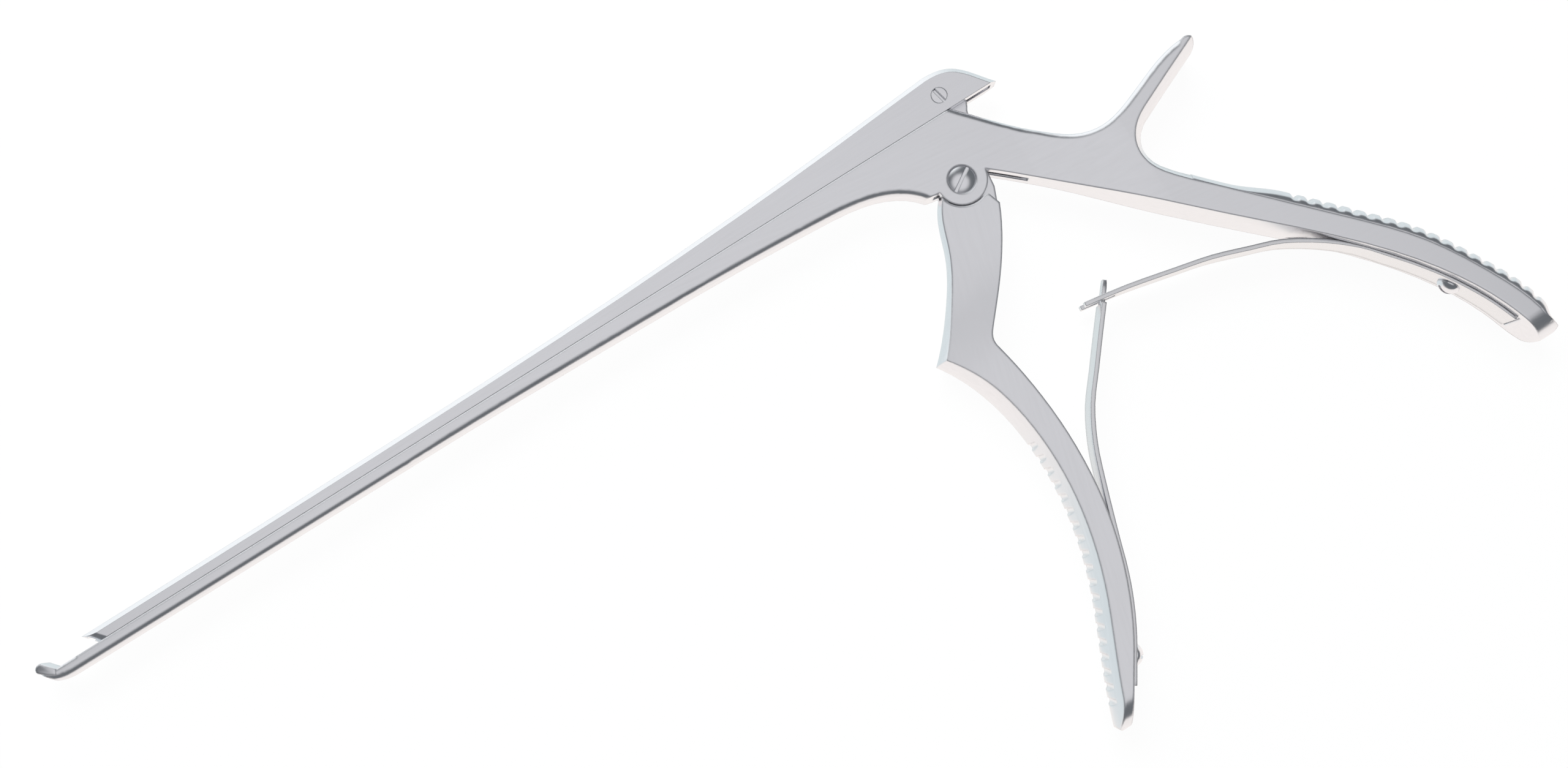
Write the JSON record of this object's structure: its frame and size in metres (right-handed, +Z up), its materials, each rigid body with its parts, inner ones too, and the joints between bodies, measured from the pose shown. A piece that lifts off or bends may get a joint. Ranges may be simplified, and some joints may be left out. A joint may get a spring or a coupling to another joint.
{
  "type": "kerrison rongeur",
  "caption": "Surgical bone punch with a long thin shaft, an upward biting jaw, a sliding upper bar and two sprung handles.",
  "frame": {"origin": "centre of the base of the whole instrument's box, as it lies on its side with the jaw open", "axes": "+X along the shaft from the jaw to the handles, +Y from the handles' ends to the shaft, +Z up, out of the side that shows the screw heads"},
  "size_m": [0.3034, 0.1364, 0.0126],
  "materials": {
    "steel": "fine satin stainless steel",
    "spring_steel": "satin spring steel",
    "screw_steel": "polished stainless steel"
  },
  "bodies": {
    "frame": {"fixed_handle": "steel", "pivot_screw": "screw_steel", "rear_spring": "spring_steel", "rear_spring_screw": "screw_steel"},
    "lever": {"front_handle": "steel", "front_spring": "spring_steel", "front_spring_screw": "screw_steel"},
    "punch": {"slide": "steel", "slide_screw": "screw_steel"}
  },
  "joints": [
    {"name": "handle_pivot", "type": "hinge", "parent": "frame", "child": "lever", "pos_m": [0.06391, 0.04519, 0.0063], "axis": [0, 0, 1], "range_deg": [0, 29.95], "stiffness_Nm_per_rad": 1.5, "springref_deg": -11.46, "deforming": ["rear_spring", "front_spring"]},
    {"name": "slide_run", "type": "slide", "parent": "frame", "child": "punch", "axis": [-1, 0, 0], "range_m": [0, 0.0095]}
  ],
  "couplings": [
    {"joint": "slide_run", "follows": "handle_pivot", "m_per_rad": 0.018174}
  ]
}
